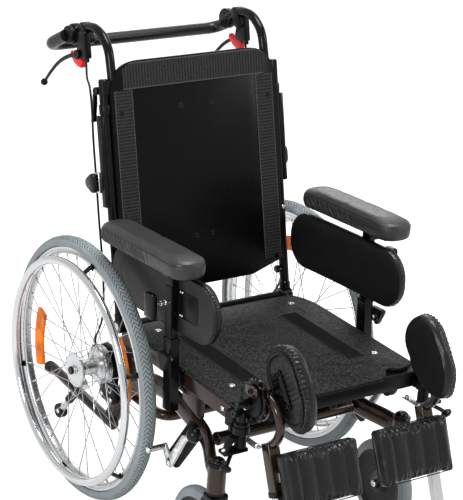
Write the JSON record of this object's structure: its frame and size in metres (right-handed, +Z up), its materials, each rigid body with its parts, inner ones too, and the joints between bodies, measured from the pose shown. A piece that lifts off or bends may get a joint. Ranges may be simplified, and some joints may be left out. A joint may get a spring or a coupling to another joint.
{
  "type": "tilt in space wheelchair",
  "caption": "Manual tilt in space wheelchair with spoked drive wheels, hard back shell, flat seat board, padded arm rests and lifting leg rests.",
  "frame": {"origin": "on the floor, in the middle of the chair's width and length", "axes": "+Z up, +X to the sitter's left, -Y the way the sitter faces"},
  "size_m": [0.6804, 1.253, 1.0574],
  "materials": {
    "bronze_paint": "metallic dark bronze, satin",
    "gloss_black_paint": "gloss",
    "matt_black_paint": "matt",
    "silver_alloy": "polished",
    "chromed_steel": "mirror bright",
    "tyre_rubber": "blue-grey, matt",
    "foam_grip": "soft foam",
    "black_leather": "soft grain",
    "board_plastic": "fine grain",
    "black_plastic": "satin"
  },
  "bodies": {
    "base": {"base_frame_left": "bronze_paint", "base_frame_right": "bronze_paint", "front_cross_tube": "bronze_paint", "rear_cross_tube": "bronze_paint", "axle_plate_left": "matt_black_paint", "axle_plate_right": "matt_black_paint"},
    "seat": {"seat_rail_left": "bronze_paint", "seat_rail_right": "bronze_paint", "seat_front_tube": "matt_black_paint", "seat_rear_tube": "matt_black_paint", "seat_plate": "board_plastic", "arm_socket_left": "gloss_black_paint", "arm_socket_right": "gloss_black_paint"},
    "back": {"back_cane_left": "gloss_black_paint", "back_cane_right": "gloss_black_paint", "back_crossbar": "matt_black_paint", "back_panel": "board_plastic", "brake_cable_left": "black_plastic", "brake_cable_right": "black_plastic"},
    "push_handles": {"push_handle_left": "gloss_black_paint", "push_handle_right": "gloss_black_paint"},
    "push_bar": {"push_bar": "foam_grip"},
    "tilt_cylinder": {"tilt_spring_cylinder": "gloss_black_paint"},
    "tilt_rod": {"tilt_spring_rod": "silver_alloy"},
    "recline_cylinder": {"recline_spring_cylinder": "gloss_black_paint"},
    "recline_rod": {"recline_spring_rod": "silver_alloy"},
    "wheel_left": {"tyre_left": "tyre_rubber", "spoked_wheel_left": "silver_alloy", "handrim_left": "chromed_steel"},
    "caster_fork_left": {"caster_fork_left": "gloss_black_paint"},
    "caster_wheel_left": {"caster_wheel_left": "tyre_rubber"},
    "wheel_lock_left": {"wheel_lock_lever_left": "silver_alloy"},
    "anti_tipper_left": {"anti_tipper_left": "silver_alloy"},
    "arm_left": {"arm_post_left": "gloss_black_paint", "arm_pad_left": "black_leather", "side_pad_left": "black_leather"},
    "brake_lever_left": {"brake_lever_left": "matt_black_paint"},
    "leg_hanger_left": {"leg_hanger_left": "gloss_black_paint"},
    "leg_arm_left": {"leg_arm_left": "bronze_paint"},
    "knee_pad_left": {"knee_pad_left": "black_leather"},
    "foot_tube_left": {"foot_tube_left": "silver_alloy"},
    "footplate_left": {"footplate_left": "black_plastic"},
    "calf_pad_left": {"calf_pad_left": "black_leather"},
    "wheel_right": {"tyre_right": "tyre_rubber", "spoked_wheel_right": "silver_alloy", "handrim_right": "chromed_steel"},
    "caster_fork_right": {"caster_fork_right": "gloss_black_paint"},
    "caster_wheel_right": {"caster_wheel_right": "tyre_rubber"},
    "wheel_lock_right": {"wheel_lock_lever_right": "silver_alloy"},
    "anti_tipper_right": {"anti_tipper_right": "silver_alloy"},
    "arm_right": {"arm_post_right": "gloss_black_paint", "arm_pad_right": "black_leather", "side_pad_right": "black_leather"},
    "brake_lever_right": {"brake_lever_right": "matt_black_paint"},
    "leg_hanger_right": {"leg_hanger_right": "gloss_black_paint"},
    "leg_arm_right": {"leg_arm_right": "bronze_paint"},
    "knee_pad_right": {"knee_pad_right": "black_leather"},
    "foot_tube_right": {"foot_tube_right": "silver_alloy"},
    "footplate_right": {"footplate_right": "black_plastic"},
    "calf_pad_right": {"calf_pad_right": "black_leather"}
  },
  "joints": [
    {"name": "tilt", "type": "hinge", "parent": "base", "child": "seat", "pos_m": [0, 0.22846, 0.355], "axis": [-1, 0, 0], "range_deg": [0, 20], "deforming": ["brake_cable_left", "brake_cable_right"]},
    {"name": "recline", "type": "hinge", "parent": "seat", "child": "back", "pos_m": [0, 0.22746, 0.415], "axis": [-1, 0, 0], "range_deg": [0, 35], "deforming": ["brake_cable_left", "brake_cable_right"]},
    {"name": "tilt_cylinder_swing", "type": "hinge", "parent": "base", "child": "tilt_cylinder", "pos_m": [0, 0.11846, 0.248], "axis": [-1, 0, 0], "range_deg": [-0.5, 22]},
    {"name": "tilt_rod_slide", "type": "slide", "parent": "tilt_cylinder", "child": "tilt_rod", "axis": [0, -0.9058, 0.4237], "range_m": [-0.001, 0.0525]},
    {"name": "recline_cylinder_swing", "type": "hinge", "parent": "seat", "child": "recline_cylinder", "pos_m": [0, -0.06154, 0.386], "axis": [-1, 0, 0], "range_deg": [-2.7, 0.2]},
    {"name": "recline_rod_slide", "type": "slide", "parent": "recline_cylinder", "child": "recline_rod", "axis": [0, 0.9986, -0.0532], "range_m": [-0.0255, 0.001]},
    {"name": "push_handle_height", "type": "slide", "parent": "back", "child": "push_handles", "axis": [0, 0.2233, 0.9748], "range_m": [0, 0.05], "deforming": ["brake_cable_left", "brake_cable_right"]},
    {"name": "push_bar_turn", "type": "hinge", "parent": "push_handles", "child": "push_bar", "pos_m": [0, 0.51641, 1.01504], "axis": [1, 0, 0], "range_deg": [-10, 60]},
    {"name": "drive_wheel_left", "type": "hinge", "parent": "base", "child": "wheel_left", "pos_m": [0.294, 0.27346, 0.305], "axis": [1, 0, 0], "continuous": true},
    {"name": "caster_swivel_left", "type": "hinge", "parent": "base", "child": "caster_fork_left", "pos_m": [0.245, -0.21654, 0.2485], "axis": [0, 0, 1], "continuous": true},
    {"name": "caster_spin_left", "type": "hinge", "parent": "caster_fork_left", "child": "caster_wheel_left", "pos_m": [0.245, -0.17154, 0.1], "axis": [1, 0, 0], "continuous": true},
    {"name": "wheel_lock_left", "type": "hinge", "parent": "base", "child": "wheel_lock_left", "pos_m": [0.262, -0.06154, 0.215], "axis": [-1, 0, 0], "range_deg": [0, 10]},
    {"name": "anti_tipper_left", "type": "hinge", "parent": "base", "child": "anti_tipper_left", "pos_m": [0.18, 0.46846, 0.157], "axis": [1, 0, 0], "range_deg": [0, 100]},
    {"name": "arm_height_left", "type": "slide", "parent": "seat", "child": "arm_left", "axis": [0, 0.0628, 0.998], "range_m": [0, 0.08]},
    {"name": "brake_lever_left", "type": "hinge", "parent": "push_handles", "child": "brake_lever_left", "pos_m": [0.225, 0.47241, 0.98059], "axis": [1, 0, 0], "range_deg": [0, 15], "stiffness_Nm_per_rad": 1.2, "springref_deg": -17.19},
    {"name": "leg_swing_left", "type": "hinge", "parent": "seat", "child": "leg_hanger_left", "pos_m": [0.24, -0.28454, 0.39], "axis": [0, 0, 1], "range_deg": [0, 90]},
    {"name": "leg_lift_left", "type": "hinge", "parent": "leg_hanger_left", "child": "leg_arm_left", "pos_m": [0.215, -0.30154, 0.462], "axis": [-1, 0, 0], "range_deg": [0, 60]},
    {"name": "knee_pad_width_left", "type": "slide", "parent": "leg_arm_left", "child": "knee_pad_left", "axis": [-1, 0, 0], "range_m": [0, 0.04]},
    {"name": "foot_tube_length_left", "type": "slide", "parent": "leg_arm_left", "child": "foot_tube_left", "axis": [0, -0.3907, -0.9205], "range_m": [-0.04, 0.04]},
    {"name": "footplate_flip_left", "type": "hinge", "parent": "foot_tube_left", "child": "footplate_left", "pos_m": [0.2, -0.56054, 0.112], "axis": [0, 1, 0], "range_deg": [0, 90]},
    {"name": "calf_pad_swing_left", "type": "hinge", "parent": "leg_arm_left", "child": "calf_pad_left", "pos_m": [0.2, -0.38689, 0.32055], "axis": [0, 0.3907, 0.9205], "range_deg": [0, 60]},
    {"name": "drive_wheel_right", "type": "hinge", "parent": "base", "child": "wheel_right", "pos_m": [-0.294, 0.27346, 0.305], "axis": [1, 0, 0], "continuous": true},
    {"name": "caster_swivel_right", "type": "hinge", "parent": "base", "child": "caster_fork_right", "pos_m": [-0.245, -0.21654, 0.2485], "axis": [0, 0, 1], "continuous": true},
    {"name": "caster_spin_right", "type": "hinge", "parent": "caster_fork_right", "child": "caster_wheel_right", "pos_m": [-0.245, -0.17154, 0.1], "axis": [1, 0, 0], "continuous": true},
    {"name": "wheel_lock_right", "type": "hinge", "parent": "base", "child": "wheel_lock_right", "pos_m": [-0.262, -0.06154, 0.215], "axis": [-1, 0, 0], "range_deg": [0, 10]},
    {"name": "anti_tipper_right", "type": "hinge", "parent": "base", "child": "anti_tipper_right", "pos_m": [-0.18, 0.46846, 0.157], "axis": [1, 0, 0], "range_deg": [0, 100]},
    {"name": "arm_height_right", "type": "slide", "parent": "seat", "child": "arm_right", "axis": [0, 0.0628, 0.998], "range_m": [0, 0.08]},
    {"name": "brake_lever_right", "type": "hinge", "parent": "push_handles", "child": "brake_lever_right", "pos_m": [-0.225, 0.47241, 0.98059], "axis": [1, 0, 0], "range_deg": [0, 15], "stiffness_Nm_per_rad": 1.2, "springref_deg": -17.19},
    {"name": "leg_swing_right", "type": "hinge", "parent": "seat", "child": "leg_hanger_right", "pos_m": [-0.24, -0.28454, 0.39], "axis": [0, 0, -1], "range_deg": [0, 90]},
    {"name": "leg_lift_right", "type": "hinge", "parent": "leg_hanger_right", "child": "leg_arm_right", "pos_m": [-0.215, -0.30154, 0.462], "axis": [-1, 0, 0], "range_deg": [0, 60]},
    {"name": "knee_pad_width_right", "type": "slide", "parent": "leg_arm_right", "child": "knee_pad_right", "axis": [1, 0, 0], "range_m": [0, 0.04]},
    {"name": "foot_tube_length_right", "type": "slide", "parent": "leg_arm_right", "child": "foot_tube_right", "axis": [0, -0.3907, -0.9205], "range_m": [-0.04, 0.04]},
    {"name": "footplate_flip_right", "type": "hinge", "parent": "foot_tube_right", "child": "footplate_right", "pos_m": [-0.2, -0.56054, 0.112], "axis": [0, -1, 0], "range_deg": [0, 90]},
    {"name": "calf_pad_swing_right", "type": "hinge", "parent": "leg_arm_right", "child": "calf_pad_right", "pos_m": [-0.2, -0.38689, 0.32055], "axis": [0, -0.3907, -0.9205], "range_deg": [0, 60]}
  ],
  "couplings": [
    {"joint": "tilt_cylinder_swing", "follows": "tilt", "ratio": 1.0859},
    {"joint": "tilt_rod_slide", "follows": "tilt", "m_per_rad": 0.147},
    {"joint": "recline_cylinder_swing", "follows": "recline", "ratio": -0.0717},
    {"joint": "recline_rod_slide", "follows": "recline", "m_per_rad": -0.0406}
  ]
}
